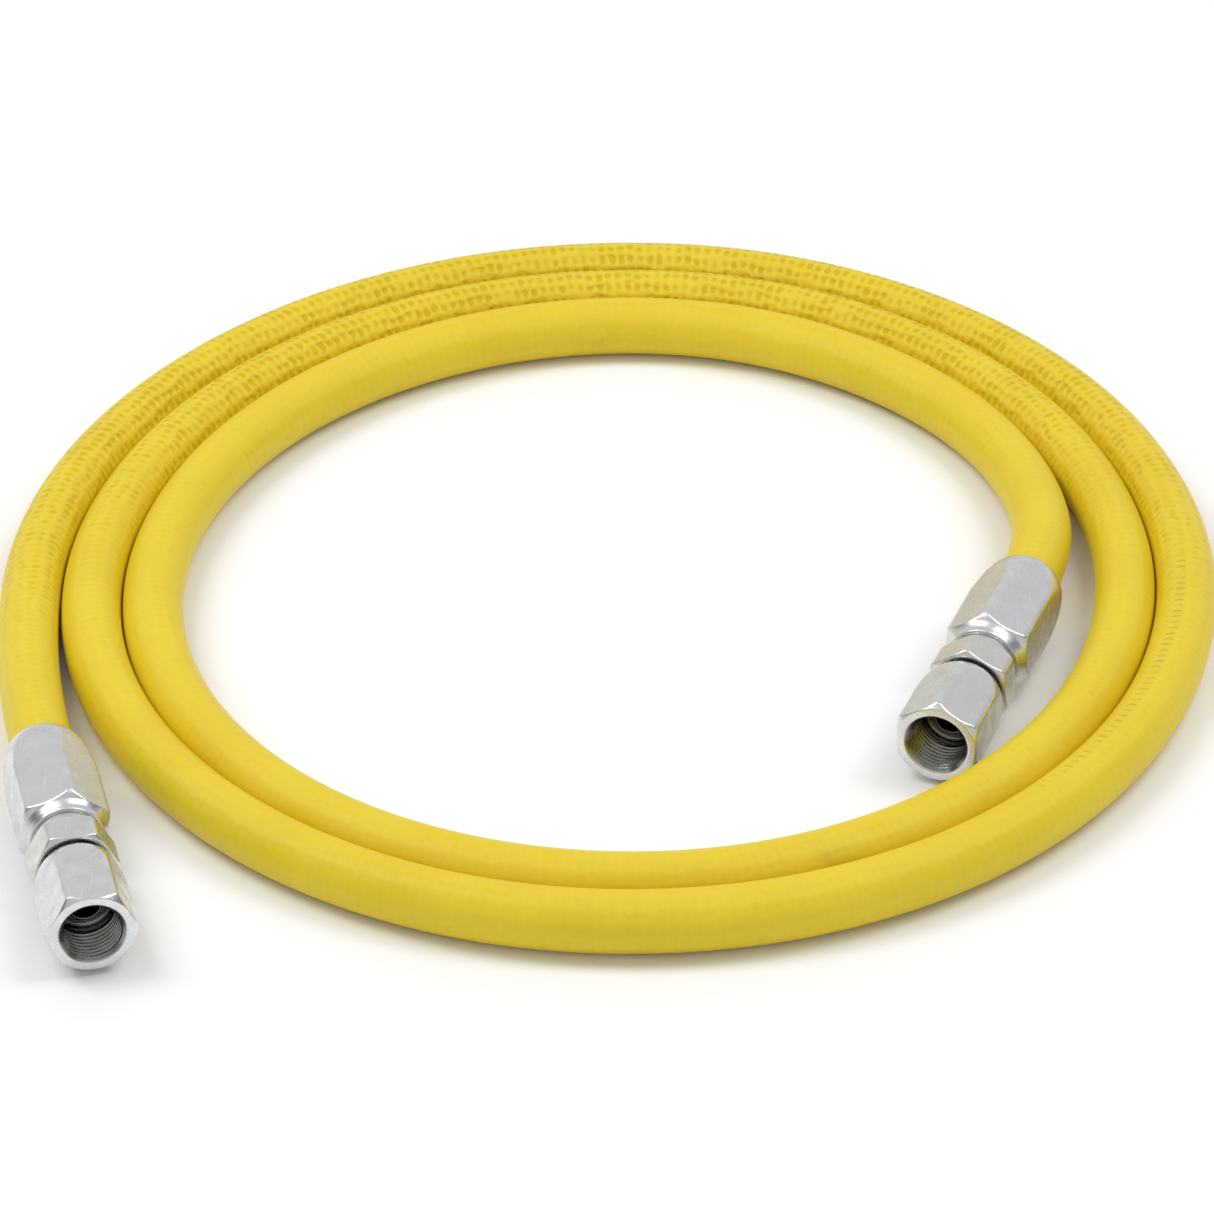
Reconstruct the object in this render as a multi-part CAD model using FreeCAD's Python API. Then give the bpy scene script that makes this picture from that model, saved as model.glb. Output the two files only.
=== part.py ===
"""Hydraulic hose assembly: a 1/2 inch one-wire-braid hose lying in a flat coil, with a reusable
screw-on fitting and a G 1/2 swivel nut at each end. Millimetres, +Z up, the floor at Z = 0."""
import FreeCAD, Part
import math
import os

from FreeCAD import Vector

# ---------------------------------------------------------------- driving dimensions
# Hose layers, as radii from the bore outwards. Bonded layers are drawn with a hairline between.
HOSE_R = 10.3            # outside of the yellow cover
COVER_IN_R = 8.9
BRAID_OUT_R = 8.8        # steel wire braid
BRAID_IN_R = 8.1
LINER_OUT_R = 8.0        # oil-resistant inner tube
LINER_IN_R = 6.35        # 1/2 inch bore

# The coil, seen from above, is a chain of arcs that turns clockwise and tightens inwards.
COIL_START = (-196.06, -10.56)  # where the outer turn begins, heading straight back (+Y)
COIL_END_HEADING = -780.0     # 2.4 turns further on
ARC_TURN = 30.0               # each arc turns the hose by this much
TURN_GAP = 20.66              # centre to centre of neighbouring turns: they just touch
COIL_RADIUS = 209.9           # bend radius of the first turn
OVAL, OVAL_AT = 27.9, 84.35   # the coil is longer front to back than side to side
EGG, EGG_AT = 5.8, 46.0       # and slightly fuller on one side

# Where the hose enters each fitting, how high the fitting lies, and which way it points.
FITTING_Z = 15.9              # a corner of the socket's hexagon rests on the floor
ENTRY_A, HEADING_A = (-183.7, -117.95), -77.05
ENTRY_B, HEADING_B = (141.1, -15.5), -109.8

# The hose between each fitting and the coil: the corners of its route, with their heights.
TAIL_A = [(-189.3, -93.55, FITTING_Z), (-196.06, -37.46, HOSE_R)]
TAIL_B = [(139.6, 79.4, HOSE_R), (149.3, 37.3, 13.0), (147.2, 1.4, FITTING_Z)]

# Fitting, as distances along its axis from the socket's hose end.
HOSE_INSERTION = 38.0         # depth that the cut end of the hose goes in
SOCKET_LENGTH = 51.5
NIPPLE_HEX = (56.5, 69.0)
NUT_REAR, NUT_FRONT = 70.5, 104.0
NOSE_TIP = 88.0
SOCKET_FLATS, NIPPLE_FLATS, NUT_FLATS = 28.0, 26.0, 27.0
SOCKET_CORNER_R, NIPPLE_CORNER_R, NUT_CORNER_R = 15.9, 14.6, 15.3
NIPPLE_BORE_R = 4.75
STEM_R = 6.3                  # pushes into the hose's bore
NECK_R = 7.8                  # the nut turns on this
RUNNING_GAP = 0.08
THREAD_MINOR_R = 9.3155       # G 1/2 internal thread, crest radius
WIRE_RING_AT, WIRE_RING_R, WIRE_R = 78.0, 7.85, 0.85

# How each hexagon happens to be turned about its own axis, from straight up.
CLOCKING = {
    "a": {"socket": 10.0, "nipple": 30.0, "nut": 33.0},
    "b": {"socket": -5.0, "nipple": -5.0, "nut": -2.0},
}


# ---------------------------------------------------------------- shape helpers
def turned(outline):
    """Revolve an outline about the X axis. A corner is (x, r); (x, r, via_x, via_r) is reached
    by an arc through its second point."""
    edges = []
    last = Vector(outline[-1][0], 0, outline[-1][1])
    for corner in outline:
        here = Vector(corner[0], 0, corner[1])
        if len(corner) == 4:
            edges.append(Part.Arc(last, Vector(corner[2], 0, corner[3]), here).toShape())
        else:
            edges.append(Part.LineSegment(last, here).toShape())
        last = here
    face = Part.Face(Part.Wire(edges))
    return face.revolve(Vector(0, 0, 0), Vector(1, 0, 0), 360)


def hex_bar(flats, start, end):
    """A hexagonal bar along X with one corner straight up."""
    corner_r = flats / math.sqrt(3)
    corners = []
    for k in range(7):
        angle = math.radians(60 * k)
        corners.append(Vector(start, corner_r * math.sin(angle), corner_r * math.cos(angle)))
    return Part.Face(Part.makePolygon(corners)).extrude(Vector(end - start, 0, 0))


def wire_channel(extra):
    """The round channel, or with no extra the wire itself, that holds the nut on the nipple."""
    return Part.makeTorus(WIRE_RING_R, WIRE_R + extra, Vector(WIRE_RING_AT, 0, 0), Vector(1, 0, 0))


# ---------------------------------------------------------------- fitting pieces, along +X
def socket():
    """The long hexagonal socket that screws over the hose, rounded down at its hose end."""
    body = turned([
        (0.0, HOSE_R + 0.05), (0.0, 11.4), (1.4, 12.7, 0.45, 12.3),
        (20.0, SOCKET_CORNER_R, 10.0, 15.0), (45.5, SOCKET_CORNER_R), (SOCKET_LENGTH, 12.3),
        (SOCKET_LENGTH, NECK_R + 0.15), (HOSE_INSERTION, NECK_R + 0.15),
        (HOSE_INSERTION, HOSE_R + 0.05),
    ])
    body = body.common(hex_bar(SOCKET_FLATS, -1.0, SOCKET_LENGTH + 1.0))
    # Coarse grip grooves for the cover, cut outwards from the bore.
    for k in range(9):
        at = 6.0 + 3.4 * k
        body = body.cut(turned([(at, 10.0), (at + 0.6, 11.15), (at + 1.6, 11.15), (at + 2.2, 10.0)]))
    return body


def nipple():
    """The stem, wrench hexagon, swivel neck and 60 degree cone nose, turned from one bar."""
    start, end = NIPPLE_HEX
    hexagon = turned([
        (start, NIPPLE_BORE_R), (start, 13.2), (start + 1.2, NIPPLE_CORNER_R),
        (end - 1.2, NIPPLE_CORNER_R), (end, 13.0), (end, NIPPLE_BORE_R),
    ]).common(hex_bar(NIPPLE_FLATS, start - 1.0, end + 1.0))
    stem = turned([
        (9.0, NIPPLE_BORE_R), (9.0, STEM_R - 0.9), (12.0, STEM_R), (HOSE_INSERTION, STEM_R),
        (HOSE_INSERTION, NECK_R + 0.1), (SOCKET_LENGTH, NECK_R + 0.1), (SOCKET_LENGTH, 11.2),
        (start, 11.2), (start, NIPPLE_BORE_R),
    ])
    nose_rise = (NECK_R - 5.6) / math.tan(math.radians(30))
    neck = turned([
        (end, NIPPLE_BORE_R), (end, NECK_R), (NOSE_TIP - nose_rise, NECK_R), (NOSE_TIP, 5.6),
        (NOSE_TIP, NIPPLE_BORE_R),
    ]).cut(wire_channel(0.1))
    return stem.fuse([hexagon, neck]).removeSplitter()


def swivel_nut():
    """The G 1/2 swivel nut: rounded shoulder, six flats, and a thread open to the front."""
    body = turned([
        (NUT_REAR, NECK_R + RUNNING_GAP), (NUT_REAR, 11.6), (NUT_REAR + 0.9, 12.5),
        (84.0, NUT_CORNER_R, 76.5, 14.45), (101.8, NUT_CORNER_R), (NUT_FRONT, 13.5),
        (NUT_FRONT, 10.9), (NUT_FRONT - 1.6, THREAD_MINOR_R), (88.2, THREAD_MINOR_R),
        (87.2, 10.6), (84.4, 10.6), (83.6, 9.6), (83.6, NECK_R + RUNNING_GAP),
    ])
    body = body.common(hex_bar(NUT_FLATS, NUT_REAR - 1.0, NUT_FRONT + 1.0))
    return body.cut(wire_channel(0.1))


def placed(shape, clocking, entry, heading):
    """Turn a piece about its own axis, point it along the heading and lay it on the floor."""
    shape.rotate(Vector(0, 0, 0), Vector(1, 0, 0), -clocking)
    shape.rotate(Vector(0, 0, 0), Vector(0, 0, 1), heading)
    shape.translate(Vector(entry[0], entry[1], FITTING_Z))
    return shape


def along_fitting(entry, heading, distance):
    """A point on a fitting's axis."""
    angle = math.radians(heading)
    x = entry[0] + distance * math.cos(angle)
    y = entry[1] + distance * math.sin(angle)
    return Vector(x, y, FITTING_Z)


# ---------------------------------------------------------------- the hose's route
def coil_arcs():
    """The coil's arcs, and the point where it ends. Seen from above, an arc at heading h has
    radius COIL_RADIUS, less its share of TURN_GAP per turn, plus the oval and the egg shape."""
    edges, radii = [], []
    point = Vector(COIL_START[0], COIL_START[1], HOSE_R)
    heading = 90.0
    while heading > COIL_END_HEADING + 0.001:
        middle = heading - ARC_TURN / 2
        radius = COIL_RADIUS - TURN_GAP * (90.0 - middle) / 360
        radius += OVAL * math.cos(2 * math.radians(middle - OVAL_AT))
        radius += EGG * math.cos(3 * math.radians(middle - EGG_AT))
        inward = math.radians(heading - 90)
        centre = point + Vector(math.cos(inward), math.sin(inward), 0) * radius
        ends = []
        for share in (0.5, 1.0):
            outward = math.radians(heading - share * ARC_TURN + 90)
            ends.append(centre + Vector(math.cos(outward), math.sin(outward), 0) * radius)
        edges.append(Part.Arc(point, ends[0], ends[1]).toShape())
        radii.append(radius)
        point = ends[1]
        heading -= ARC_TURN
    return edges, radii, point


def bent_run(points):
    """Straight runs with a tangent arc at each inner point. An arc's tangent length is 0.45 of
    a run between two bends and 0.9 of an end run, whichever is shorter."""
    edges, radii = [], []
    last = points[0]
    for k in range(1, len(points) - 1):
        before, after = points[k - 1] - points[k], points[k + 1] - points[k]
        share_before = 0.9 if k == 1 else 0.45
        share_after = 0.9 if k == len(points) - 2 else 0.45
        tangent = min(share_before * before.Length, share_after * after.Length)
        half_turn = (math.pi - before.getAngle(after)) / 2
        radius = tangent / math.tan(half_turn)
        start = points[k] + before.normalize() * tangent
        end = points[k] + after.normalize() * tangent
        to_centre = (before + after).normalize()
        middle = points[k] + to_centre * (radius / math.cos(half_turn) - radius)
        edges.append(Part.LineSegment(last, start).toShape())
        edges.append(Part.Arc(start, middle, end).toShape())
        radii.append(radius)
        last = end
    edges.append(Part.LineSegment(last, points[-1]).toShape())
    return edges, radii


def hose_route():
    """The hose's centre line from its cut end in fitting A to its cut end in fitting B."""
    coil, coil_radii, coil_end = coil_arcs()
    coil_start = Vector(COIL_START[0], COIL_START[1], HOSE_R)
    cut_a = along_fitting(ENTRY_A, HEADING_A, HOSE_INSERTION)
    cut_b = along_fitting(ENTRY_B, HEADING_B, HOSE_INSERTION)
    tail_a, radii_a = bent_run([cut_a] + [Vector(*p) for p in TAIL_A] + [coil_start])
    tail_b, radii_b = bent_run([coil_end] + [Vector(*p) for p in TAIL_B] + [cut_b])
    print("coil ends at", [round(v, 2) for v in coil_end])
    print("bend radii:", [round(r, 1) for r in radii_a + coil_radii + radii_b])
    return Part.Wire(tail_a + coil + tail_b)


def layer(route, outer_r, inner_r, name):
    """One layer of the hose: a rod swept along the route, less the rod inside it."""
    start = route.Edges[0].valueAt(route.Edges[0].FirstParameter)
    along = route.Edges[0].tangentAt(route.Edges[0].FirstParameter)
    rods = []
    for radius in (outer_r, inner_r):
        ring = Part.Wire(Part.makeCircle(radius, start, along))
        rods.append(route.makePipeShell([ring], True, True))
    tube = rods[0].cut(rods[1])
    expected = math.pi * (outer_r ** 2 - inner_r ** 2) * route.Length
    print(f"{name}: valid {tube.isValid()}, volume over section x length "
          f"{tube.Volume / expected:.5f}")
    return tube


# ---------------------------------------------------------------- the assembly
def build():
    """Every node of the assembly by name."""
    route = hose_route()
    print(f"hose length {route.Length:.1f} cut, "
          f"{route.Length - 2 * HOSE_INSERTION:.1f} between the sockets")
    nodes = {
        "hose_cover": layer(route, HOSE_R, COVER_IN_R, "cover"),
        "wire_braid": layer(route, BRAID_OUT_R, BRAID_IN_R, "braid"),
        "inner_tube": layer(route, LINER_OUT_R, LINER_IN_R, "liner"),
    }
    for end, entry, heading in (("a", ENTRY_A, HEADING_A), ("b", ENTRY_B, HEADING_B)):
        clocking = CLOCKING[end]
        nodes[f"socket_{end}"] = placed(socket(), clocking["socket"], entry, heading)
        nodes[f"nipple_{end}"] = placed(nipple(), clocking["nipple"], entry, heading)
        nodes[f"swivel_nut_{end}"] = placed(swivel_nut(), clocking["nut"], entry, heading)
        nodes[f"retaining_wire_{end}"] = placed(wire_channel(0.0), 0.0, entry, heading)
    return nodes


os.makedirs("parts", exist_ok=True)
whole = FreeCAD.BoundBox()
for name, shape in build().items():
    solid = shape.Solids[0]
    solid.exportStep(f"parts/{name}.step")
    whole.add(solid.optimalBoundingBox(False))
    print(f"{name}: {len(shape.Solids)} solid, valid {solid.isValid()}, "
          f"{solid.Volume / 1000:.2f} cm3")
print("box", [round(v, 2) for v in (whole.XMin, whole.XMax, whole.YMin, whole.YMax,
                                    whole.ZMin, whole.ZMax)])
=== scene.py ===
# %% [markdown]
# # A hydraulic hose in a flat coil
# A yellow 1/2 inch hose with one layer of steel braid lies on the floor in about two and a half
# turns. Each end carries a reusable fitting of zinc-plated steel: a long hexagonal socket, a short
# wrench hexagon and a swivel nut with a thread inside. The lesson builds every visible surface as
# a numpy grid, so each shape is one formula, and gives each finish its own procedural material.
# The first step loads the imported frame: it knows where each part is, so nothing is placed by eye.

# %% Load the frame
import math

import bpy
import numpy as np
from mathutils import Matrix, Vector


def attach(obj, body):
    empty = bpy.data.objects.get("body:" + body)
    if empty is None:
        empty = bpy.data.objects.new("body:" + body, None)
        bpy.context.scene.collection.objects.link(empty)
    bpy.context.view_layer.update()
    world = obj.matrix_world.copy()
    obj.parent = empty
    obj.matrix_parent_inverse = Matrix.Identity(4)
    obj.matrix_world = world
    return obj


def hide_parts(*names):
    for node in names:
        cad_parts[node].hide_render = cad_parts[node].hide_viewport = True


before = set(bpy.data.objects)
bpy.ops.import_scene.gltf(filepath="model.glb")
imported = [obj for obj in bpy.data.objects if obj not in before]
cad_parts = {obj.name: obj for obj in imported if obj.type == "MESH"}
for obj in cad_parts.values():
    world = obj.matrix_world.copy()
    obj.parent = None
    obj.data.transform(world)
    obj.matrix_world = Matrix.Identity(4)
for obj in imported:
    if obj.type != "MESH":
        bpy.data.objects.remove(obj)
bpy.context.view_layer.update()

MM = 0.001
UP = np.array([0.0, 0.0, 1.0])

# %% [markdown]
# ## Camera
# A long lens from a little over two metres, looking down at the floor by about a third of a right
# angle, keeps the coil's far side nearly as wide as its near side. That flatness is what makes a
# catalogue picture look calm, so the lens is long rather than the camera close.

# %% Camera
CAMERA_TARGET = Vector((-0.0009, -0.0045, 0.0))
CAMERA_DISTANCE = 2.0984
CAMERA_ELEVATION = math.radians(32.38)
CAMERA_LENS_MM = 182.4

camera_data = bpy.data.cameras.new("studio_camera")
camera_data.sensor_width = 36.0
camera_data.lens = CAMERA_LENS_MM
camera_data.clip_end = 50.0
camera = bpy.data.objects.new("studio_camera", camera_data)
bpy.context.collection.objects.link(camera)
line_of_sight = Vector((0.0, math.cos(CAMERA_ELEVATION), -math.sin(CAMERA_ELEVATION)))
camera.location = CAMERA_TARGET - line_of_sight * CAMERA_DISTANCE
camera.rotation_euler = line_of_sight.to_track_quat("-Z", "Y").to_euler()
bpy.context.scene.camera = camera
print("camera at", [round(v, 3) for v in camera.location])

# %% [markdown]
# ## The hose's route
# A coiled hose is a chain of bends that each turn it by the same angle and get a little tighter,
# so that neighbouring turns just touch. The loop below walks along that chain. At each bend it
# notes the corner where the tangents before and after it cross. A smooth spline of order three
# touches the middle of every side of such a polygon, so it follows the bends without copying them.
# The loose ends to the fittings are only a few more corners of the same spline. Each fitting has
# the place where the hose goes in, the way it points and the turn of each of its hexagons, in
# degrees.

# %% Route of the hose
HOSE_R = 10.3 * MM
FITTING_HEIGHT_MM = 15.9
COIL_START = np.array([-196.06, -10.56]) * MM
COIL_START_HEADING, COIL_END_HEADING = 90.0, -780.0
BEND_TURN = 15.0
TURN_GAP = 20.66 * MM
COIL_RADIUS = 209.9 * MM
OVAL, OVAL_AT = 27.9 * MM, 84.35
EGG, EGG_AT = 5.8 * MM, 46.0
TAIL_A = [(-189.3, -93.55, FITTING_HEIGHT_MM), (-196.06, -37.46, 10.3)]
TAIL_B = [(139.6, 79.4, 10.3), (149.3, 37.3, 13.0), (147.2, 1.4, FITTING_HEIGHT_MM)]
FITTINGS = {
    "a": {"entry": np.array([-183.7, -117.95, FITTING_HEIGHT_MM]) * MM, "heading": -77.05,
          "socket": 10.0, "nipple": 30.0, "nut": 33.0},
    "b": {"entry": np.array([141.1, -15.5, FITTING_HEIGHT_MM]) * MM, "heading": -109.8,
          "socket": -5.0, "nipple": -5.0, "nut": -2.0},
}
HIDDEN_END = 9.0 * MM


def heading_vector(degrees):
    """The unit vector in the floor plane at an angle from +X."""
    return np.array([math.cos(math.radians(degrees)), math.sin(math.radians(degrees)), 0.0])


def bend_radius(heading):
    """Radius of the bend at a heading: the first radius, less one gap per whole turn, plus a
    two-sided wave for the oval and a three-sided wave for the egg shape."""
    radius = COIL_RADIUS - TURN_GAP * (COIL_START_HEADING - heading) / 360.0
    radius += OVAL * math.cos(math.radians(2 * (heading - OVAL_AT)))
    return radius + EGG * math.cos(math.radians(3 * (heading - EGG_AT)))


def coil_corners():
    """Corners of the tangents of the coil's bends. A bend of radius R through an angle t has its
    corner R tan(t / 2) ahead of its start, and its end as far again along the new heading. Two
    bends in a row share one radius."""
    corners = []
    point = np.array([*COIL_START, HOSE_R])
    for k in range(round((COIL_START_HEADING - COIL_END_HEADING) / BEND_TURN)):
        heading = COIL_START_HEADING - k * BEND_TURN
        middle_of_pair = heading - BEND_TURN * (1 - k % 2)
        reach = bend_radius(middle_of_pair) * math.tan(math.radians(BEND_TURN / 2))
        corner = point + heading_vector(heading) * reach
        corners.append(corner)
        point = corner + heading_vector(heading - BEND_TURN) * reach
    return corners


def fitting_point(end, distance):
    """A point on a fitting's axis, so many metres outwards from where the hose goes in."""
    fitting = FITTINGS[end]
    return fitting["entry"] + heading_vector(fitting["heading"]) * distance


route = [fitting_point("a", HIDDEN_END)]
route += [np.array(p) * MM for p in TAIL_A]
route += coil_corners()
route += [np.array(p) * MM for p in TAIL_B]
route += [fitting_point("b", HIDDEN_END)]

curve = bpy.data.curves.new("hose_route", "CURVE")
curve.dimensions = "3D"
spline = curve.splines.new("NURBS")
spline.points.add(len(route) - 1)
for control, place in zip(spline.points, route):
    control.co = (*place, 1.0)
spline.order_u = 3
spline.use_endpoint_u = True
spline.resolution_u = 24
route_object = bpy.data.objects.new("hose_route", curve)
bpy.context.collection.objects.link(route_object)
line_mesh = bpy.data.meshes.new_from_object(route_object)
line = np.empty(len(line_mesh.vertices) * 3)
line_mesh.vertices.foreach_get("co", line)
line = line.reshape(-1, 3)
bpy.data.objects.remove(route_object)
bpy.data.meshes.remove(line_mesh)
line_length = float(np.linalg.norm(np.diff(line, axis=0), axis=1).sum())
print(f"{len(route)} control points, {len(line)} points on the line, {line_length:.4f} m")

# %% [markdown]
# ## One helper for every surface
# A surface is a grid of points: rows along one parameter, columns along the other. The helper
# joins neighbouring points into faces, closes the grid where it wraps, adds a map of lengths for
# the materials, and turns the faces outwards by checking the sign of the enclosed volume.

# %% Grid helper
def grid_piece(name, points, along, around, material, recess=None):
    """A closed surface from points[row, column], where both directions wrap round. along and
    around are the map coordinates, one more of each than rows and columns. recess, where given,
    says of each point how deep it lies in a bore or groove, from 0 to 1, for oil and painted shade."""
    rows, columns = points.shape[:2]
    i, j = np.meshgrid(np.arange(rows), np.arange(columns), indexing="ij")
    i_next, j_next = i + 1, j + 1
    corner_i = np.stack([i, i_next, i_next, i], axis=-1).reshape(-1, 4)
    corner_j = np.stack([j, j, j_next, j_next], axis=-1).reshape(-1, 4)
    faces = (corner_i % rows) * columns + corner_j % columns
    flat = points.reshape(-1, 3)
    a, b, c, d = (flat[faces[:, k]] for k in range(4))
    volume = (np.cross(a, b) * c).sum() + (np.cross(a, c) * d).sum()
    if volume < 0:
        faces, corner_i, corner_j = faces[:, ::-1], corner_i[:, ::-1], corner_j[:, ::-1]
    mesh = bpy.data.meshes.new(name)
    mesh.from_pydata(flat, [], faces.tolist())
    lengths = mesh.uv_layers.new(name="lengths")
    uv = np.stack([along[corner_i], around[corner_j]], axis=-1).astype(np.float32)
    lengths.data.foreach_set("uv", uv.ravel())
    mesh.polygons.foreach_set("use_smooth", np.ones(len(faces), dtype=bool))
    if recess is not None:
        mesh.attributes.new("recess", "FLOAT", "POINT").data.foreach_set(
            "value", recess.ravel().astype(np.float32))
    mesh.validate()
    piece = bpy.data.objects.new(name, mesh)
    bpy.context.collection.objects.link(piece)
    mesh.materials.append(material)
    print(f"{name}: {len(flat)} points, {abs(volume) / 6 * 1e6:.2f} cm3")
    return piece


# %% [markdown]
# ## Node helpers and shared effects
# A finish is a small network of nodes. These helpers keep each network short enough to read.
# Two effects are used by more than one finish, so they are node groups: soft blotches, which
# stop a surface from being one flat colour, and fine specks and scratches.

# %% Node helpers
def node(tree, kind, inputs=None, **settings):
    """Add a node, set its properties, and set or link its inputs by name or index."""
    added = tree.nodes.new(kind)
    for key, value in settings.items():
        setattr(added, key, value)
    for key, value in (inputs or {}).items():
        if isinstance(value, bpy.types.NodeSocket):
            tree.links.new(value, added.inputs[key])
        else:
            added.inputs[key].default_value = value
    return added


def maths(tree, operation, first, second=0.0):
    """One step of arithmetic on two sockets or numbers."""
    return node(tree, "ShaderNodeMath", {0: first, 1: second}, operation=operation).outputs[0]


def remap(tree, value, low, high, to_low=0.0, to_high=1.0, smooth=True):
    """Stretch a value between two limits, with soft ends."""
    kind = "SMOOTHSTEP" if smooth else "LINEAR"
    inputs = {"Value": value, "From Min": low, "From Max": high, "To Min": to_low,
              "To Max": to_high}
    return node(tree, "ShaderNodeMapRange", inputs, interpolation_type=kind).outputs[0]


def mix_colour(tree, share, first, second):
    """Blend two colours by a share from 0 to 1. The node keeps its colours at 6 and 7."""
    inputs = {0: share, 6: first, 7: second}
    return node(tree, "ShaderNodeMix", inputs, data_type="RGBA").outputs[2]


def noise(tree, vector, scale, detail=3.0, roughness=0.5):
    """A noise value around 0.5 at so many cells per metre."""
    inputs = {"Vector": vector, "Scale": scale, "Detail": detail, "Roughness": roughness}
    return node(tree, "ShaderNodeTexNoise", inputs).outputs["Fac"]


def new_material(name):
    """A material with an empty tree, its Principled shader and its output."""
    material = bpy.data.materials.new(name)
    material.use_nodes = True
    tree = material.node_tree
    tree.nodes.clear()
    shader = tree.nodes.new("ShaderNodeBsdfPrincipled")
    output = tree.nodes.new("ShaderNodeOutputMaterial")
    tree.links.new(shader.outputs[0], output.inputs["Surface"])
    return material, tree, shader


def new_group(name, inputs, outputs):
    """A shader node group. An input whose value is None is a vector; all else is numbers."""
    group = bpy.data.node_groups.new(name, "ShaderNodeTree")
    for label, value in inputs.items():
        kind = "NodeSocketVector" if value is None else "NodeSocketFloat"
        made = group.interface.new_socket(label, in_out="INPUT", socket_type=kind)
        if value is not None:
            made.default_value = value
    for label in outputs:
        group.interface.new_socket(label, in_out="OUTPUT", socket_type="NodeSocketFloat")
    return group, group.nodes.new("NodeGroupInput"), group.nodes.new("NodeGroupOutput")


def use_group(tree, group, **inputs):
    """Place a node group in a material with its own values, and return its outputs."""
    return node(tree, "ShaderNodeGroup", inputs, node_tree=group).outputs


# %% Blotches, shared by the rubbers and the metals
blotches, group_in, group_out = new_group(
    "blotches", {"Place": None, "Size": 20.0, "Contrast": 0.5}, ["Mask"])
broad = noise(blotches, group_in.outputs["Place"], group_in.outputs["Size"], detail=4.0)
centred = maths(blotches, "SUBTRACT", broad, 0.5)
spread = maths(blotches, "MULTIPLY", centred, group_in.outputs["Contrast"])
blotches.links.new(maths(blotches, "ADD", spread, 0.5), group_out.inputs["Mask"])
print("group made:", blotches.name)

# %% Fine scratches and specks, shared by the zinc and the spring wire
scuffs, group_in, group_out = new_group(
    "scuffs", {"Place": None, "Scratches": 900.0, "Specks": 2600.0}, ["Scratch", "Speck"])
stretched = node(scuffs, "ShaderNodeMapping",
                 {"Vector": group_in.outputs["Place"], "Scale": (1.0, 0.06, 0.35)})
lines = noise(scuffs, stretched.outputs[0], group_in.outputs["Scratches"], detail=2.0)
scuffs.links.new(remap(scuffs, lines, 0.62, 0.74), group_out.inputs["Scratch"])
grains = noise(scuffs, group_in.outputs["Place"], group_in.outputs["Specks"], detail=2.0)
scuffs.links.new(remap(scuffs, grains, 0.56, 0.70), group_out.inputs["Speck"])
print("group made:", scuffs.name)

# %% [markdown]
# ## Yellow cover rubber
# The cover is cured under a wound cloth band, which leaves very fine cross ribs, and the braid
# beneath prints a faint diamond pattern through it. Both follow the hose round its bends, so they
# read the map of lengths rather than the place in space. The pattern is stronger in some
# stretches than in others, as on real hose, a little grime lies about at random, and the
# pattern's low points are painted a darker yellow as painted shade.

# %% Yellow cover rubber
RIB_PITCH = 2.1 * MM
RIB_WANDER = 1.4 * MM
BRAID_PITCH = 3.6 * MM
WIRES_FORWARD, WIRES_BACK = 7, 6
WIRE_WANDER = 0.55
HOSE_AROUND = 2 * math.pi * HOSE_R
TURN_LENGTH = 1.25
CLEAR_PRINTS = ((0.43, 0.46), (0.40 + TURN_LENGTH, 0.34))
MARKS_PITCH = 3.6 * MM
MARKS_SHARE_AROUND = 0.215
MARKS_MIDDLE, MARKS_REACH = 0.83, 0.14
RIB_HEIGHT, WEAVE_HEIGHT, MARKS_DEPTH, GRAIN_HEIGHT = 0.14, 3.2, 0.8, 0.9
COVER_RELIEF = 0.17 * MM
DEEP_YELLOW, PALE_YELLOW = (0.72, 0.535, 0.009, 1.0), (0.78, 0.60, 0.022, 1.0)
DIP_SHADE_YELLOW = (0.56, 0.37, 0.003, 1.0)
MARK_BROWN = (0.26, 0.19, 0.01, 1.0)
GRIME_BROWN = (0.30, 0.24, 0.03, 1.0)


def stretch(tree, along, middle, reach):
    """A mask that is 1 near a place along the hose and fades out on both sides of it."""
    away = maths(tree, "ABSOLUTE", maths(tree, "SUBTRACT", along, middle))
    return remap(tree, away, reach, 0.3 * reach)


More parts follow.
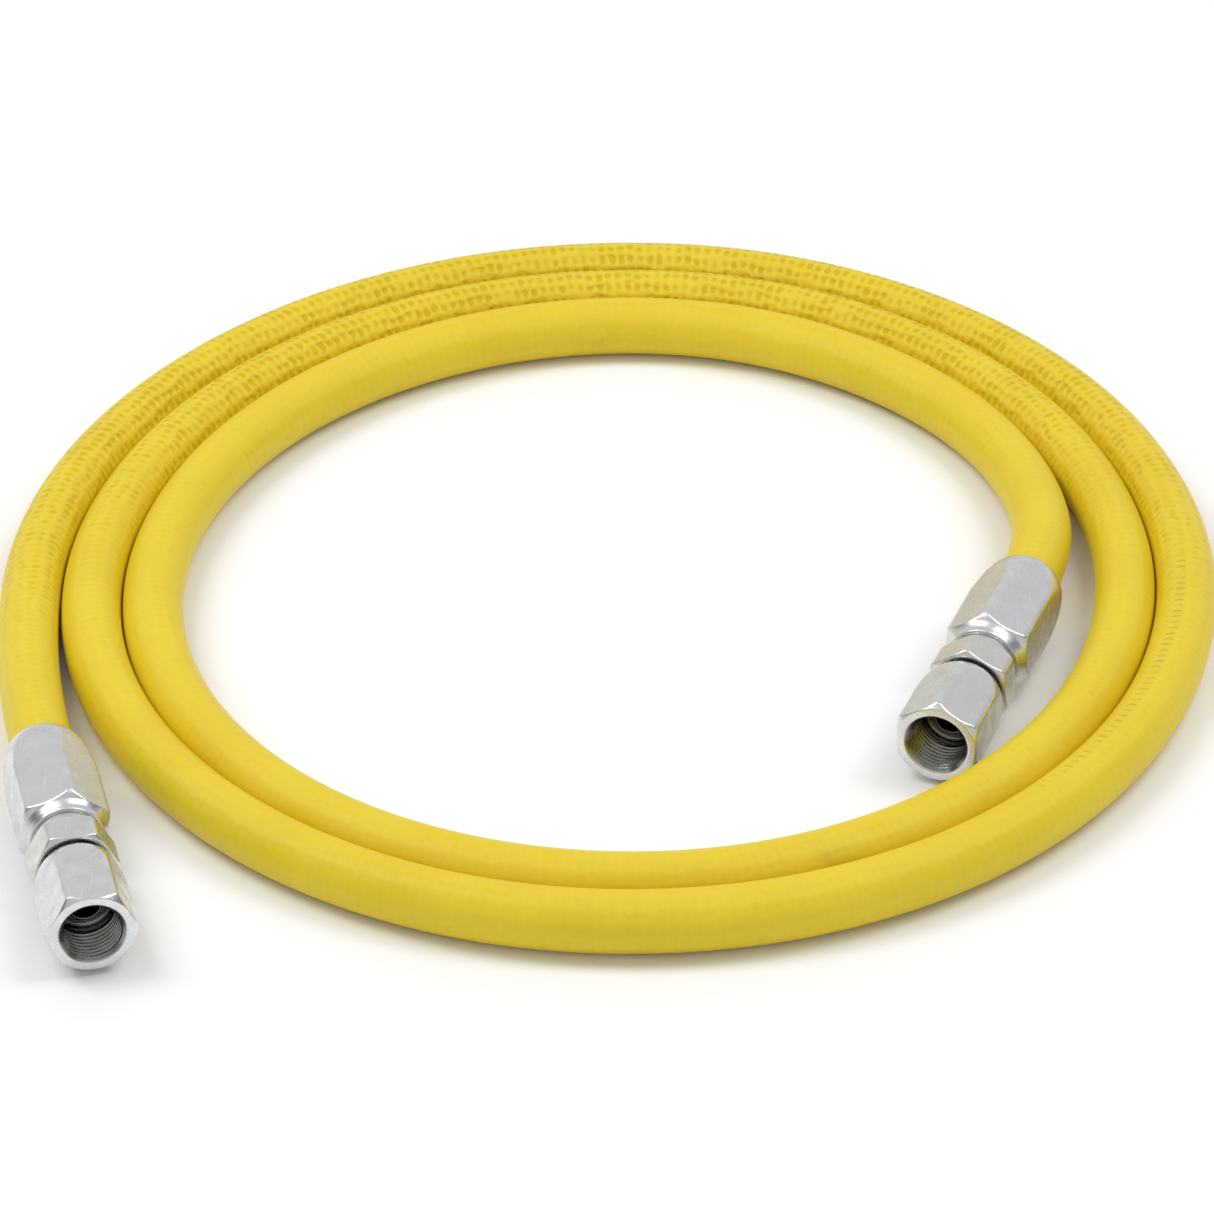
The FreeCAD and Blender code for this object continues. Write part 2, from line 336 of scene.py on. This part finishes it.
def cover_rubber():
    """Satin yellow rubber with wrap ribs, a braid print and soft wear."""
    material, tree, shader = new_material("satin_yellow_rubber")
    lengths = node(tree, "ShaderNodeUVMap", uv_map="lengths").outputs[0]
    split = node(tree, "ShaderNodeSeparateXYZ", {0: lengths})
    along, around = split.outputs[0], split.outputs[1]
    place = node(tree, "ShaderNodeTexCoord").outputs["Object"]

    # Fine cross ribs from the wound band, not quite evenly spaced.
    wobble = noise(tree, place, 160.0, detail=2.0)
    along_wavy = maths(tree, "ADD", along, maths(tree, "MULTIPLY", wobble, RIB_WANDER))
    ribs = maths(tree, "SINE", maths(tree, "MULTIPLY", along_wavy, 2 * math.pi / RIB_PITCH))
    rib_share = use_group(tree, blotches, Place=place, Size=9.0, Contrast=3.2)["Mask"]
    ribs = maths(tree, "MULTIPLY", ribs, remap(tree, rib_share, 0.1, 1.0, 0.25, 0.9))

    # The braid's print: waves that slant both ways multiply into small raised pillows.
    stray = noise(tree, place, 170.0, detail=2.0)
    round_angle = maths(tree, "MULTIPLY", around, 2 * math.pi / HOSE_AROUND)
    round_angle = maths(tree, "ADD", round_angle, maths(tree, "MULTIPLY", stray, WIRE_WANDER))
    forward_angle = maths(tree, "MULTIPLY", along_wavy, math.pi / BRAID_PITCH)
    one_way = maths(tree, "MULTIPLY", round_angle, WIRES_FORWARD)
    one_way = maths(tree, "SINE", maths(tree, "ADD", forward_angle, one_way))
    other_way = maths(tree, "MULTIPLY", round_angle, WIRES_BACK)
    other_way = maths(tree, "SINE", maths(tree, "SUBTRACT", forward_angle, other_way))
    weave = maths(tree, "MULTIPLY", one_way, other_way)
    first, second = (stretch(tree, along, middle, reach) for middle, reach in CLEAR_PRINTS)
    printed = maths(tree, "MAXIMUM", first, second)
    uneven = use_group(tree, blotches, Place=place, Size=130.0, Contrast=3.8)["Mask"]
    printed = maths(tree, "MULTIPLY", remap(tree, printed, 0.0, 1.0, 0.12, 1.0),
                    remap(tree, uneven, 0.0, 1.0, 0.35, 1.0))
    weave = maths(tree, "MULTIPLY", weave, printed)

    # A row of short cross marks where the band's edge pressed in, on one shoulder.
    shoulder = maths(tree, "SUBTRACT", around, MARKS_SHARE_AROUND * HOSE_AROUND)
    shoulder = maths(tree, "ABSOLUTE", shoulder)
    row = maths(tree, "MULTIPLY", remap(tree, shoulder, 2.4 * MM, 0.9 * MM),
                stretch(tree, along, MARKS_MIDDLE, MARKS_REACH))
    row = maths(tree, "MULTIPLY", row, remap(tree, stray, 0.35, 0.6, 0.35, 1.0))
    mark_angle = maths(tree, "MULTIPLY", along_wavy, 2 * math.pi / MARKS_PITCH)
    marks = maths(tree, "MULTIPLY", row,
                  remap(tree, maths(tree, "SINE", mark_angle), 0.1, 0.9))

    grain = noise(tree, place, 2400.0, detail=3.0, roughness=0.6)
    height = maths(tree, "ADD", maths(tree, "MULTIPLY", ribs, RIB_HEIGHT),
                   maths(tree, "MULTIPLY", weave, WEAVE_HEIGHT))
    height = maths(tree, "SUBTRACT", height, maths(tree, "MULTIPLY", marks, MARKS_DEPTH))
    height = maths(tree, "ADD", height, maths(tree, "MULTIPLY", grain, GRAIN_HEIGHT))
    bump = node(tree, "ShaderNodeBump",
                {"Height": height, "Distance": COVER_RELIEF, "Strength": 0.9})
    tree.links.new(bump.outputs[0], shader.inputs["Normal"])

    tone = use_group(tree, blotches, Place=place, Size=26.0, Contrast=1.8)["Mask"]
    colour = mix_colour(tree, tone, DEEP_YELLOW, PALE_YELLOW)
    # The low points of the braid print are painted a darker yellow and given less shine: painted
    # shade.
    dip_shade = maths(tree, "MULTIPLY", remap(tree, weave, 0.15, -0.6), 0.60)
    colour = mix_colour(tree, dip_shade, colour, DIP_SHADE_YELLOW)
    colour = mix_colour(tree, maths(tree, "MULTIPLY", marks, 0.45), colour, MARK_BROWN)
    grime = remap(tree, noise(tree, place, 30.0, detail=6.0, roughness=0.65), 0.62, 0.80)
    colour = mix_colour(tree, maths(tree, "MULTIPLY", grime, 0.25), colour, GRIME_BROWN)
    tree.links.new(colour, shader.inputs["Base Color"])
    tree.links.new(remap(tree, tone, 0.0, 1.0, 0.40, 0.50), shader.inputs["Roughness"])
    tree.links.new(remap(tree, dip_shade, 0.0, 0.6, 0.36, 0.10),
                   shader.inputs["Specular IOR Level"])
    return material


cover_material = cover_rubber()
print("material made:", cover_material.name)

# %% [markdown]
# ## The hose
# The cover is a circle carried along the spline. At every step the circle stands square to the
# line, with one spoke kept level, so it never twists. The surface runs along the outside, turns
# in at the cut end and comes back along the inside, which makes one closed shell with a real
# wall. Two slow waves, each a number of lobes round the hose and of radians per metre along it,
# leave the outside a touch out of round, as extruded rubber is.

# %% The hose cover
COVER_IN_R = 8.9 * MM
HOSE_RINGS = 820
HOSE_SPOKES = 48
RIPPLE_ROOM = 0.10 * MM
RIPPLES = ((0.06 * MM, 2, 3.1), (0.04 * MM, 3, 41.0))


def even_points(path, count):
    """Points at equal steps along a path, and each one's distance from the start."""
    steps = np.linalg.norm(np.diff(path, axis=0), axis=1)
    reached = np.concatenate([[0.0], np.cumsum(steps)])
    at = np.linspace(0.0, reached[-1], count)
    return np.stack([np.interp(at, reached, path[:, k]) for k in range(3)], axis=1), at


def tube_rings(centres, radii, angles):
    """Circles square to a line: centre + r (cos(angle) side + sin(angle) upward)."""
    tangent = np.gradient(centres, axis=0)
    tangent /= np.linalg.norm(tangent, axis=1, keepdims=True)
    side = np.cross(tangent, UP)
    side /= np.linalg.norm(side, axis=1, keepdims=True)
    upward = np.cross(side, tangent)
    spokes = (np.cos(angles)[None, :, None] * side[:, None, :]
              + np.sin(angles)[None, :, None] * upward[:, None, :])
    return centres[:, None, :] + radii[:, :, None] * spokes


centres, distance = even_points(line, HOSE_RINGS)
angles = np.linspace(0.0, 2 * np.pi, HOSE_SPOKES, endpoint=False)
ripple = sum(depth * np.sin(lobes * angles[None, :] + per_metre * distance[:, None])
             for depth, lobes, per_metre in RIPPLES)
outside = tube_rings(centres, HOSE_R - RIPPLE_ROOM + ripple, angles)
inside = tube_rings(centres, np.full_like(ripple, COVER_IN_R), angles)
cover_points = np.concatenate([outside, inside[::-1]])
cover_along = np.concatenate([distance, distance[::-1], distance[:1]])
cover_around = np.linspace(0.0, HOSE_AROUND, HOSE_SPOKES + 1)
hose = grid_piece("yellow_hose", cover_points, cover_along, cover_around, cover_material)
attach(hose, "hose")
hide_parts("hose_cover")

# %% [markdown]
# ## Zinc-plated steel
# Bright zinc is a soft grey mirror. Under the plating the steel keeps the lathe's fine rings,
# which are lines of equal distance along the outline, so the finish reads them from the map of
# lengths. Specks and blotches give the plating its slight cloud. Bores and grooves are painted
# darker: partly a thin layer of oil, partly painted shade.

# %% Zinc-plated steel
SPECK_GREY, SCRATCH_GREY = (0.40, 0.40, 0.42, 1.0), (0.88, 0.89, 0.90, 1.0)
OIL_AND_SHADE_BROWN = (0.10, 0.095, 0.08, 1.0)
SHADED_TINT = 0.84
ZINC_RELIEF = 0.03 * MM


def zinc_steel(name, tint, roughness, ring_depth):
    """Zinc over machined steel, with lathe rings, grain, scratches and cloudy plating."""
    material, tree, shader = new_material(name)
    lengths = node(tree, "ShaderNodeUVMap", uv_map="lengths").outputs[0]
    along = node(tree, "ShaderNodeSeparateXYZ", {0: lengths}).outputs[0]
    place = node(tree, "ShaderNodeTexCoord").outputs["Object"]
    cloud = use_group(tree, blotches, Place=place, Size=170.0, Contrast=2.4)["Mask"]
    marks = use_group(tree, scuffs, Place=place, Scratches=700.0, Specks=1500.0)
    lines = node(tree, "ShaderNodeCombineXYZ", {0: along})
    rings = noise(tree, lines.outputs[0], 3500.0, detail=2.0, roughness=0.7)
    grain = noise(tree, place, 1500.0, detail=3.0, roughness=0.65)

    darker = tuple(SHADED_TINT * c for c in tint) + (1.0,)
    colour = mix_colour(tree, cloud, darker, (*tint, 1.0))
    speck_share = maths(tree, "MULTIPLY", marks["Speck"], 0.35)
    colour = mix_colour(tree, speck_share, colour, SPECK_GREY)
    scratch_share = maths(tree, "MULTIPLY", marks["Scratch"], 0.30)
    colour = mix_colour(tree, scratch_share, colour, SCRATCH_GREY)
    hidden = node(tree, "ShaderNodeAttribute", attribute_name="recess").outputs["Fac"]
    # Points deep in bores and grooves turn dark brown: partly a thin layer of oil, partly painted
    # shade.
    oil_and_shade = maths(tree, "MULTIPLY", hidden, remap(tree, cloud, 0.1, 0.9, 0.66, 0.88))
    colour = mix_colour(tree, oil_and_shade, colour, OIL_AND_SHADE_BROWN)
    tree.links.new(colour, shader.inputs["Base Color"])
    shader.inputs["Metallic"].default_value = 1.0
    rough = remap(tree, cloud, 0.0, 1.0, roughness + 0.06, roughness - 0.04)
    rough = maths(tree, "ADD", rough, maths(tree, "MULTIPLY", marks["Speck"], 0.12))
    tree.links.new(rough, shader.inputs["Roughness"])
    height = maths(tree, "ADD", maths(tree, "MULTIPLY", rings, ring_depth),
                   maths(tree, "MULTIPLY", grain, 0.8))
    height = maths(tree, "SUBTRACT", height, maths(tree, "MULTIPLY", marks["Speck"], 0.3))
    bump = node(tree, "ShaderNodeBump",
                {"Height": height, "Distance": ZINC_RELIEF, "Strength": 0.8})
    tree.links.new(bump.outputs[0], shader.inputs["Normal"])
    return material


socket_zinc = zinc_steel("socket_zinc", (0.74, 0.75, 0.76), roughness=0.27, ring_depth=0.25)
nut_zinc = zinc_steel("nut_zinc", (0.75, 0.77, 0.76), roughness=0.23, ring_depth=0.35)
nipple_zinc = zinc_steel("nipple_zinc", (0.74, 0.75, 0.72), roughness=0.25, ring_depth=0.5)
print("materials made:", socket_zinc.name, nut_zinc.name, nipple_zinc.name)

# %% [markdown]
# ## Turned and milled pieces
# Each fitting piece starts as a bar on a lathe. Its outline is a closed path of distance along
# the axis and radius. The six flats are then milled, so the radius is the smaller of the outline
# and the hexagon. Taking a soft minimum instead of a hard one leaves the small rounded edge that
# catches light on real parts, and gives the curved tongues where a cone runs into a flat.

# %% Turned and milled pieces
OPEN_R, RECESS_FADE = 10.9, 0.6
EDGE_SOFTNESS = 0.5
BELL_REACH = 8


def arc_corners(start, middle, end, count):
    """Points on the curve through three corners: start, middle and end are weighted by
    (1-t)(1-2t), 4t(1-t) and t(2t-1) as t goes from 0 to 1."""
    t = np.linspace(0.0, 1.0, count)[:, None]
    start, middle, end = (np.array(p) for p in (start, middle, end))
    curve_points = (1 - t) * (1 - 2 * t) * start + 4 * t * (1 - t) * middle
    return (curve_points + t * (2 * t - 1) * end).tolist()


def outline_points(corners, step, rounding):
    """A closed outline at even steps, in mm, with its corners rounded by averaging neighbours
    with weights that fall off like a bell."""
    path = np.array(list(corners) + [corners[0]], dtype=float)
    steps = np.linalg.norm(np.diff(path, axis=0), axis=1)
    reached = np.concatenate([[0.0], np.cumsum(steps)])
    count = int(reached[-1] / step)
    at = np.linspace(0.0, reached[-1], count, endpoint=False)
    dense = np.stack([np.interp(at, reached, path[:, k]) for k in range(2)], axis=1)
    offsets = np.arange(-BELL_REACH, BELL_REACH + 1)
    weights = np.exp(-0.5 * (offsets * step / rounding) ** 2)
    weights /= weights.sum()
    rounded = sum(w * np.roll(dense, -k, axis=0) for w, k in zip(weights, offsets))
    return rounded, at


def soft_minimum(first, second, softness):
    """The smaller of two arrays, blended where they differ by less than the softness:
    min - max(softness - |difference|, 0) squared / (4 softness)."""
    overlap = np.maximum(softness - np.abs(first - second), 0.0)
    return np.minimum(first, second) - overlap ** 2 / (4 * softness)


def hexagon_radius(angles, flats):
    """Distance from the axis to a hexagon with a corner at angle zero."""
    from_flat = (angles % (np.pi / 3)) - np.pi / 6
    return flats / 2 / np.cos(from_flat)


def fitting_piece(name, end, clocking, corners, flats, material, node_name, body,
                  spokes=240, step=0.3, rounding=0.22, thread=None):
    """Carry an outline round a fitting's axis. Radius = soft minimum of the outline and the
    hexagon, plus the thread's depth where there is one. Lengths are in mm until MM scales them."""
    fitting = FITTINGS[end]
    outline, at = outline_points(corners, step, rounding)
    angles = np.linspace(0.0, 2 * np.pi, spokes, endpoint=False)
    x = np.repeat(outline[:, :1], spokes, axis=1)
    hexagon = hexagon_radius(angles, flats)[None, :]
    radius = soft_minimum(outline[:, 1:], hexagon, EDGE_SOFTNESS)
    if thread is not None:
        radius = radius + thread(x, radius, angles[None, :])
    turned_by = angles + math.radians(clocking)
    axis = heading_vector(fitting["heading"])
    right = np.cross(UP, axis)
    points = fitting["entry"] + MM * (
        x[:, :, None] * axis
        + (radius * np.cos(turned_by))[:, :, None] * UP
        + (radius * np.sin(turned_by))[:, :, None] * right)
    along = np.append(at, at[0]) * MM
    around = np.linspace(0.0, 2 * np.pi * flats / 2 * MM, spokes + 1)
    # How deep each point lies inside a bore or groove, which the zinc paints darker as oil and
    # painted shade.
    recess = np.clip((OPEN_R - radius) / RECESS_FADE, 0.0, 1.0)
    piece = grid_piece(name, points, along, around, material, recess)
    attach(piece, body)
    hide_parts(node_name)
    return piece


# %% [markdown]
# ## Sockets
# The socket screws over the hose. Its hose end is turned down to a long rounded nose so that it
# doesn't catch, and its front end is turned down steeply to the nipple's collar.

# %% Sockets
SOCKET_FLATS = 27.9
SOCKET_OUTLINE = (
    [(0.15, 10.42), (0.15, 11.3)]
    + arc_corners((0.3, 11.9), (7.0, 14.3), (20.0, 15.8), 12)
    + [(45.3, 15.8), (46.4, 14.9), (47.6, 13.6), (49.3, 12.7), (51.4, 12.2), (51.4, 7.95),
       (38.1, 7.95), (38.1, 10.42)]
)
for end in ("a", "b"):
    fitting_piece(
        f"hex_socket_{end}", end, FITTINGS[end]["socket"], SOCKET_OUTLINE, SOCKET_FLATS,
        socket_zinc, f"socket_{end}", "hose")

# %% [markdown]
# ## Nipples
# The nipple is one bar: a stem inside the hose, a plain collar, a short wrench hexagon, the neck
# that the nut turns on, and a cone nose with the oil way through it, seen inside the nut. A round
# channel in the neck takes half of the wire ring that holds the nut.

# %% Nipples
NIPPLE_FLATS = 25.9
WIRE_AT = 78.0
CHANNEL_HALF = 1.15
CHANNEL_FROM, CHANNEL_TO = WIRE_AT - CHANNEL_HALF, WIRE_AT + CHANNEL_HALF
NIPPLE_OUTLINE = (
    [(9.1, 4.8), (9.1, 5.5), (12.0, 6.25), (37.9, 6.25), (37.9, 7.85), (51.5, 7.85),
     (51.5, 11.15), (56.5, 11.15), (56.6, 13.2), (57.8, 14.55), (67.8, 14.55), (68.9, 13.0),
     (68.9, 7.75)]
    + arc_corners((CHANNEL_FROM, 7.75), (WIRE_AT, 6.75), (CHANNEL_TO, 7.75), 9)
    + [(84.2, 7.75), (87.9, 5.65), (87.9, 4.8)]
)
for end in ("a", "b"):
    fitting_piece(
        f"hex_nipple_{end}", end, FITTINGS[end]["nipple"], NIPPLE_OUTLINE, NIPPLE_FLATS,
        nipple_zinc, f"nipple_{end}", "hose", spokes=216, step=0.42)

# %% [markdown]
# ## Swivel nuts
# The nut's rear shoulder is rounded and its front is chamfered. Inside is a real helical G 1/2
# thread: the wall's radius follows a wave that advances by one pitch for each turn, and fades out
# at the mouth's chamfer and at the relief groove behind it. The rear bore has the other half of
# the wire's channel, so the nut turns round the wire without touching it.

# %% Swivel nuts
NUT_FLATS = 26.95
THREAD_PITCH = 1.814
THREAD_DEPTH = 1.12
THREAD_FROM, THREAD_TO = 88.4, 102.5
THREAD_RISE, THREAD_FALL = 1.2, 1.0
WALL_FROM_R, WALL_TO_R = 9.2, 9.75
NUT_OUTLINE = (
    [(70.6, 7.95), (70.6, 11.4)]
    + arc_corners((71.2, 12.4), (76.5, 14.4), (84.0, 15.2), 10)
    + [(101.9, 15.2), (103.0, 14.2), (103.9, 13.45), (103.9, 10.95), (102.3, 9.36),
       (88.3, 9.36), (87.2, 10.55), (84.5, 10.55), (83.7, 9.6), (83.7, 7.95)]
    + arc_corners((CHANNEL_TO, 7.95), (WIRE_AT, 9.15), (CHANNEL_FROM, 7.95), 9)
)


def pipe_thread(x, radius, angles):
    """Depth of a rounded thread: half the depth times (1 - cos) of the distance along the axis
    in pitches, less the turn so far, faded at both ends and kept to the bore's wall."""
    wave = 0.5 - 0.5 * np.cos(2 * np.pi * (x / THREAD_PITCH - angles / (2 * np.pi)))
    rise = np.clip((x - THREAD_FROM) / THREAD_RISE, 0.0, 1.0)
    fall = np.clip((THREAD_TO - x) / THREAD_FALL, 0.0, 1.0)
    on_wall = (radius > WALL_FROM_R) & (radius < WALL_TO_R)
    return THREAD_DEPTH * wave * rise * fall * on_wall


for end in ("a", "b"):
    fitting_piece(
        f"swivel_hex_nut_{end}", end, FITTINGS[end]["nut"], NUT_OUTLINE, NUT_FLATS,
        nut_zinc, f"swivel_nut_{end}", f"nut_{end}", spokes=252, step=0.22,
        rounding=0.2, thread=pipe_thread)

# %% [markdown]
# ## The parts inside
# The braid, the inner tube and the two retaining wires keep their design shapes, because the
# cover, the fittings and the nuts hide them. They still get their own finishes, for anyone who
# takes the hose apart.

# %% Finishes of the inner parts
def braid_wire():
    """Brass-coated steel wires, as a fine cellular bump."""
    material, tree, shader = new_material("brassy_braid_wire")
    place = node(tree, "ShaderNodeTexCoord").outputs["Object"]
    tone = use_group(tree, blotches, Place=place, Size=60.0, Contrast=1.5)["Mask"]
    colour = mix_colour(tree, tone, (0.52, 0.44, 0.30, 1.0), (0.66, 0.60, 0.48, 1.0))
    tree.links.new(colour, shader.inputs["Base Color"])
    shader.inputs["Metallic"].default_value = 1.0
    cells = node(tree, "ShaderNodeTexVoronoi", {"Vector": place, "Scale": 900.0})
    bump = node(tree, "ShaderNodeBump",
                {"Height": cells.outputs["Distance"], "Distance": 0.2 * MM, "Strength": 0.8})
    tree.links.new(bump.outputs[0], shader.inputs["Normal"])
    tree.links.new(remap(tree, tone, 0.0, 1.0, 0.45, 0.3), shader.inputs["Roughness"])
    return material


def liner_rubber():
    """Smooth black rubber with a faint cloud."""
    material, tree, shader = new_material("smooth_black_rubber")
    place = node(tree, "ShaderNodeTexCoord").outputs["Object"]
    tone = use_group(tree, blotches, Place=place, Size=80.0, Contrast=1.5)["Mask"]
    colour = mix_colour(tree, tone, (0.012, 0.012, 0.012, 1.0), (0.03, 0.03, 0.032, 1.0))
    tree.links.new(colour, shader.inputs["Base Color"])
    tree.links.new(remap(tree, tone, 0.0, 1.0, 0.4, 0.6), shader.inputs["Roughness"])
    return material


def drawn_wire():
    """Dark drawn spring steel with fine specks."""
    material, tree, shader = new_material("drawn_spring_steel")
    place = node(tree, "ShaderNodeTexCoord").outputs["Object"]
    marks = use_group(tree, scuffs, Place=place, Scratches=900.0, Specks=2200.0)
    colour = mix_colour(tree, marks["Speck"], (0.42, 0.42, 0.42, 1.0), (0.25, 0.25, 0.26, 1.0))
    tree.links.new(colour, shader.inputs["Base Color"])
    shader.inputs["Metallic"].default_value = 1.0
    tree.links.new(remap(tree, marks["Scratch"], 0.0, 1.0, 0.34, 0.22),
                   shader.inputs["Roughness"])
    return material


def give_material(node_names, material):
    """Put one material on the design's own nodes."""
    for node_name in node_names:
        design_part = bpy.data.objects[node_name]
        design_part.data.materials.clear()
        design_part.data.materials.append(material)


give_material(["wire_braid"], braid_wire())
give_material(["inner_tube"], liner_rubber())
give_material(["retaining_wire_a", "retaining_wire_b"], drawn_wire())

# %% [markdown]

# %% [markdown]
# ## Floor and light
# A pale seamless floor, two large soft panels overhead and a world that is bright almost all
# round. The world is dim only halfway up its two sides, so that the metal has dark as well as
# light to reflect, and the panels draw the soft highlight along the top of the hose.

# %% Floor
FLOOR_REACH = 6.0
floor_mesh = bpy.data.meshes.new("studio_floor")
floor_corners = [(x * FLOOR_REACH, y * FLOOR_REACH, 0)
                 for x, y in ((-1, -1), (1, -1), (1, 1), (-1, 1))]
floor_mesh.from_pydata(floor_corners, [], [(0, 1, 2, 3)])
floor = bpy.data.objects.new("studio_floor", floor_mesh)
bpy.context.collection.objects.link(floor)
floor_material, tree, shader = new_material("floor_paper")
floor_place = node(tree, "ShaderNodeTexCoord").outputs["Object"]
floor_tone = noise(tree, floor_place, 1.5, detail=2.0)
tree.links.new(mix_colour(tree, floor_tone, (0.89, 0.89, 0.89, 1), (0.91, 0.91, 0.91, 1)),
               shader.inputs["Base Color"])
shader.inputs["Roughness"].default_value = 0.9
floor_mesh.materials.append(floor_material)

# %% Lights
DIM_LEVEL, BRIGHT_LEVEL = 0.16, 0.80


def panel_light(name, place, target, size, power):
    """A rectangular area light that faces a point. Its first size lies level, across its aim,
    and its second leans with it."""
    light = bpy.data.lights.new(name, "AREA")
    light.shape = "RECTANGLE"
    light.size, light.size_y = size
    light.energy = power
    panel = bpy.data.objects.new(name, light)
    panel.location = place
    panel.rotation_euler = (Vector(target) - Vector(place)).to_track_quat("-Z", "Y").to_euler()
    bpy.context.collection.objects.link(panel)


panel_light("left_panel", (-1.25, 0.1, 1.9), (0, 0, 0), size=(0.9, 1.4), power=20.0)
panel_light("right_panel", (1.25, 0.1, 1.9), (0, 0, 0), size=(0.9, 1.4), power=16.0)

# The room, by where a direction points: brightest behind the object, a little less so along the
# horizon, in front and overhead, and dim elsewhere, which is halfway up the sides.
world = bpy.data.worlds.new("studio_world")
world.use_nodes = True
bpy.context.scene.world = world
sky = world.node_tree
direction = node(sky, "ShaderNodeTexCoord").outputs["Generated"]
toward = node(sky, "ShaderNodeSeparateXYZ", {0: direction}).outputs
behind = remap(sky, toward[1], 0.25, 0.75, 0.0, 1.0)
overhead = remap(sky, toward[2], 0.35, 0.85, 0.0, 0.83)
before = remap(sky, toward[1], -0.25, -0.75, 0.0, 0.85)
horizon = remap(sky, toward[2], 0.20, 0.05, 0.0, 0.9)
brightest = maths(sky, "MAXIMUM", maths(sky, "MAXIMUM", behind, overhead),
                  maths(sky, "MAXIMUM", before, horizon))
level = remap(sky, brightest, 0.0, 1.0, DIM_LEVEL, BRIGHT_LEVEL, smooth=False)
colour = node(sky, "ShaderNodeCombineXYZ", {0: level, 1: level, 2: level})
sky.links.new(colour.outputs[0], sky.nodes["Background"].inputs["Color"])
bpy.context.scene.view_settings.view_transform = "Standard"
print("lights and world made")
